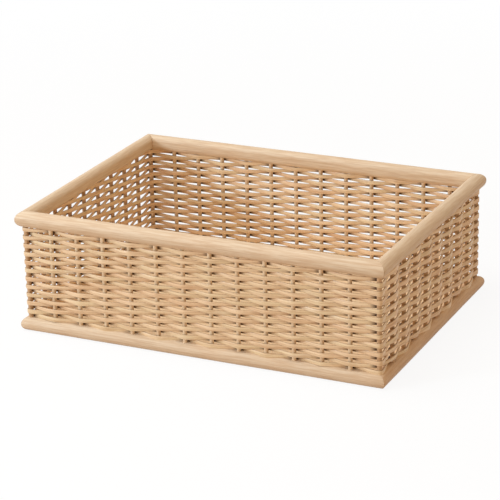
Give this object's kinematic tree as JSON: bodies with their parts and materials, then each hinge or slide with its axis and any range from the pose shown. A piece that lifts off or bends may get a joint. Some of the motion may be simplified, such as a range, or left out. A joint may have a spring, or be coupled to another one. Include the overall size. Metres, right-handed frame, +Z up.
{
  "type": "rectangular storage basket",
  "caption": "Open rectangular storage basket with rounded mitred wooden rails at rim and foot, upright stakes between them, flat strands woven in and out of the stakes, and a thin wooden base.",
  "frame": {"origin": "on the standing plane, below the middle of the basket", "axes": "+X along the long side, to the right as seen from the front; +Y from the front to the back; +Z up"},
  "size_m": [0.36, 0.26, 0.116],
  "materials": {
    "rail_wood": "sanded pale wood with fine straight grain along each rail, matt clear finish",
    "stake_wood": "plain peeled stick, matt",
    "woven_strand": "flat split willow, light tan varying from strand to strand, slightly satin",
    "base_board": "thin pale plywood, sanded, matt"
  },
  "bodies": {
    "root": {"top_rail_front": "rail_wood", "top_rail_right": "rail_wood", "top_rail_back": "rail_wood", "top_rail_left": "rail_wood", "bottom_rail_front": "rail_wood", "bottom_rail_right": "rail_wood", "bottom_rail_back": "rail_wood", "bottom_rail_left": "rail_wood", "base_panel": "base_board", "corner_post_front_left": "stake_wood", "corner_post_front_right": "stake_wood", "corner_post_back_right": "stake_wood", "corner_post_back_left": "stake_wood", "stake_front_01": "stake_wood", "stake_front_02": "stake_wood", "stake_front_03": "stake_wood", "stake_front_04": "stake_wood", "stake_front_05": "stake_wood", "stake_front_06": "stake_wood", "stake_front_07": "stake_wood", "stake_front_08": "stake_wood", "stake_front_09": "stake_wood", "stake_front_10": "stake_wood", "stake_front_11": "stake_wood", "stake_front_12": "stake_wood", "stake_right_01": "stake_wood", "stake_right_02": "stake_wood", "stake_right_03": "stake_wood", "stake_right_04": "stake_wood", "stake_right_05": "stake_wood", "stake_right_06": "stake_wood", "stake_right_07": "stake_wood", "stake_right_08": "stake_wood", "stake_back_01": "stake_wood", "stake_back_02": "stake_wood", "stake_back_03": "stake_wood", "stake_back_04": "stake_wood", "stake_back_05": "stake_wood", "stake_back_06": "stake_wood", "stake_back_07": "stake_wood", "stake_back_08": "stake_wood", "stake_back_09": "stake_wood", "stake_back_10": "stake_wood", "stake_back_11": "stake_wood", "stake_back_12": "stake_wood", "stake_left_01": "stake_wood", "stake_left_02": "stake_wood", "stake_left_03": "stake_wood", "stake_left_04": "stake_wood", "stake_left_05": "stake_wood", "stake_left_06": "stake_wood", "stake_left_07": "stake_wood", "stake_left_08": "stake_wood", "weaver_a": "woven_strand", "weaver_b": "woven_strand"}
  },
  "joints": []
}
